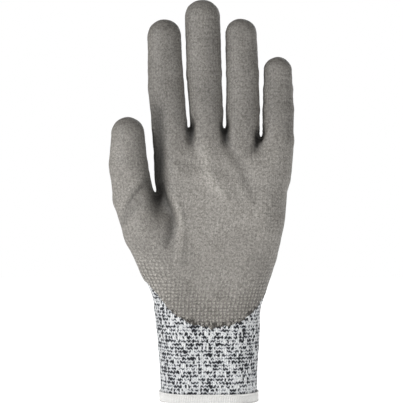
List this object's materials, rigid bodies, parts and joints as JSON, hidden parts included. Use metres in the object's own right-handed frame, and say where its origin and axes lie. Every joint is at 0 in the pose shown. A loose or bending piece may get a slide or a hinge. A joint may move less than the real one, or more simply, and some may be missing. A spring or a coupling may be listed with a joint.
{
  "type": "cut resistant glove",
  "caption": "Left-hand seamless knitted cut resistant glove with a dipped palm coating, elastic knit cuff and overlocked hem, standing filled with fingers straight.",
  "frame": {"origin": "centre of the wrist opening, in the plane of the edge of the hem", "axes": "+Z to the fingertips, -Y out of the coated palm, -X to the thumb"},
  "size_m": [0.1135, 0.04, 0.245],
  "materials": {
    "knit": "salt and pepper heather knit",
    "coating": "matte warm grey polyurethane film",
    "hem": "off-white overlock stitching",
    "elastic": "covered elastic yarn"
  },
  "bodies": {
    "cuff": {"cuff_liner": "knit", "cuff_elastic": "elastic", "cuff_hem": "hem"},
    "palm": {"palm_liner": "knit", "palm_coating": "coating", "wrist_crease": "knit"},
    "knuckles": {"knuckle_liner": "knit", "knuckle_coating": "coating", "knuckle_crease": "coating"},
    "thumb_base": {"thumb_base_liner": "knit", "thumb_base_coating": "coating", "thumb_base_crease": "coating"},
    "thumb_middle": {"thumb_middle_liner": "knit", "thumb_middle_coating": "coating", "thumb_middle_crease": "coating"},
    "thumb_tip": {"thumb_tip_liner": "knit", "thumb_tip_coating": "coating", "thumb_tip_crease": "coating"},
    "index_base": {"index_base_liner": "knit", "index_base_coating": "coating", "index_base_crease": "coating"},
    "index_middle": {"index_middle_liner": "knit", "index_middle_coating": "coating", "index_middle_crease": "coating"},
    "index_tip": {"index_tip_liner": "knit", "index_tip_coating": "coating", "index_tip_crease": "coating"},
    "middle_base": {"middle_base_liner": "knit", "middle_base_coating": "coating", "middle_base_crease": "coating"},
    "middle_middle": {"middle_middle_liner": "knit", "middle_middle_coating": "coating", "middle_middle_crease": "coating"},
    "middle_tip": {"middle_tip_liner": "knit", "middle_tip_coating": "coating", "middle_tip_crease": "coating"},
    "ring_base": {"ring_base_liner": "knit", "ring_base_coating": "coating", "ring_base_crease": "coating"},
    "ring_middle": {"ring_middle_liner": "knit", "ring_middle_coating": "coating", "ring_middle_crease": "coating"},
    "ring_tip": {"ring_tip_liner": "knit", "ring_tip_coating": "coating", "ring_tip_crease": "coating"},
    "little_base": {"little_base_liner": "knit", "little_base_coating": "coating", "little_base_crease": "coating"},
    "little_middle": {"little_middle_liner": "knit", "little_middle_coating": "coating", "little_middle_crease": "coating"},
    "little_tip": {"little_tip_liner": "knit", "little_tip_coating": "coating", "little_tip_crease": "coating"}
  },
  "joints": [
    {"name": "wrist_bend", "type": "hinge", "parent": "cuff", "child": "palm", "pos_m": [0, 0, 0.05], "axis": [1, 0, 0], "range_deg": [-40, 40], "stiffness_Nm_per_rad": 0.15, "deforming": ["wrist_crease"]},
    {"name": "knuckle_bend", "type": "hinge", "parent": "palm", "child": "knuckles", "pos_m": [0.009, -0.004, 0.146], "axis": [1, 0, 0], "range_deg": [-10, 60], "stiffness_Nm_per_rad": 0.15, "deforming": ["knuckle_crease"]},
    {"name": "thumb_base_bend", "type": "hinge", "parent": "palm", "child": "thumb_base", "pos_m": [-0.0335, -0.004, 0.126], "axis": [0.4258, 0, 0.9048], "range_deg": [-10, 10], "stiffness_Nm_per_rad": 0.04, "deforming": ["thumb_base_crease"]},
    {"name": "thumb_middle_bend", "type": "hinge", "parent": "thumb_base", "child": "thumb_middle", "pos_m": [-0.0468, -0.007, 0.133], "axis": [0.9964, 0, 0.0847], "range_deg": [0, 40], "stiffness_Nm_per_rad": 0.04, "deforming": ["thumb_middle_crease"]},
    {"name": "thumb_tip_bend", "type": "hinge", "parent": "thumb_middle", "child": "thumb_tip", "pos_m": [-0.0492, -0.007, 0.153], "axis": [0.9964, 0, 0.0847], "range_deg": [0, 50], "stiffness_Nm_per_rad": 0.04, "deforming": ["thumb_tip_crease"]},
    {"name": "index_base_bend", "type": "hinge", "parent": "knuckles", "child": "index_base", "pos_m": [-0.02385, -0.003, 0.1745], "axis": [0.9986, 0, 0.0538], "range_deg": [-10, 40], "stiffness_Nm_per_rad": 0.04, "deforming": ["index_base_crease"]},
    {"name": "index_middle_bend", "type": "hinge", "parent": "index_base", "child": "index_middle", "pos_m": [-0.02493, -0.003, 0.1945], "axis": [0.9986, 0, 0.0538], "range_deg": [0, 85], "stiffness_Nm_per_rad": 0.04, "deforming": ["index_middle_crease"]},
    {"name": "index_tip_bend", "type": "hinge", "parent": "index_middle", "child": "index_tip", "pos_m": [-0.02598, -0.003, 0.214], "axis": [0.9986, 0, 0.0538], "range_deg": [0, 50], "stiffness_Nm_per_rad": 0.04, "deforming": ["index_tip_crease"]},
    {"name": "middle_base_bend", "type": "hinge", "parent": "knuckles", "child": "middle_base", "pos_m": [-0.00138, -0.003, 0.1755], "axis": [0.9994, 0, 0.0333], "range_deg": [-10, 40], "stiffness_Nm_per_rad": 0.04, "deforming": ["middle_base_crease"]},
    {"name": "middle_middle_bend", "type": "hinge", "parent": "middle_base", "child": "middle_middle", "pos_m": [-0.00213, -0.003, 0.198], "axis": [0.9994, 0, 0.0333], "range_deg": [0, 85], "stiffness_Nm_per_rad": 0.04, "deforming": ["middle_middle_crease"]},
    {"name": "middle_tip_bend", "type": "hinge", "parent": "middle_middle", "child": "middle_tip", "pos_m": [-0.00292, -0.003, 0.2215], "axis": [0.9994, 0, 0.0333], "range_deg": [0, 50], "stiffness_Nm_per_rad": 0.04, "deforming": ["middle_tip_crease"]},
    {"name": "ring_base_bend", "type": "hinge", "parent": "knuckles", "child": "ring_base", "pos_m": [0.021, -0.003, 0.1745], "axis": [0.9999, 0, 0.0102], "range_deg": [-10, 40], "stiffness_Nm_per_rad": 0.04, "deforming": ["ring_base_crease"]},
    {"name": "ring_middle_bend", "type": "hinge", "parent": "ring_base", "child": "ring_middle", "pos_m": [0.0208, -0.003, 0.1945], "axis": [0.9999, 0, 0.0102], "range_deg": [0, 85], "stiffness_Nm_per_rad": 0.04, "deforming": ["ring_middle_crease"]},
    {"name": "ring_tip_bend", "type": "hinge", "parent": "ring_middle", "child": "ring_tip", "pos_m": [0.0206, -0.003, 0.214], "axis": [0.9999, 0, 0.0102], "range_deg": [0, 50], "stiffness_Nm_per_rad": 0.04, "deforming": ["ring_tip_crease"]},
    {"name": "little_base_bend", "type": "hinge", "parent": "knuckles", "child": "little_base", "pos_m": [0.04235, -0.003, 0.169], "axis": [1, 0, -0.0036], "range_deg": [-10, 40], "stiffness_Nm_per_rad": 0.04, "deforming": ["little_base_crease"]},
    {"name": "little_middle_bend", "type": "hinge", "parent": "little_base", "child": "little_middle", "pos_m": [0.0424, -0.003, 0.1825], "axis": [1, 0, -0.0036], "range_deg": [0, 85], "stiffness_Nm_per_rad": 0.04, "deforming": ["little_middle_crease"]},
    {"name": "little_tip_bend", "type": "hinge", "parent": "little_middle", "child": "little_tip", "pos_m": [0.04245, -0.003, 0.196], "axis": [1, 0, -0.0036], "range_deg": [0, 50], "stiffness_Nm_per_rad": 0.04, "deforming": ["little_tip_crease"]}
  ]
}
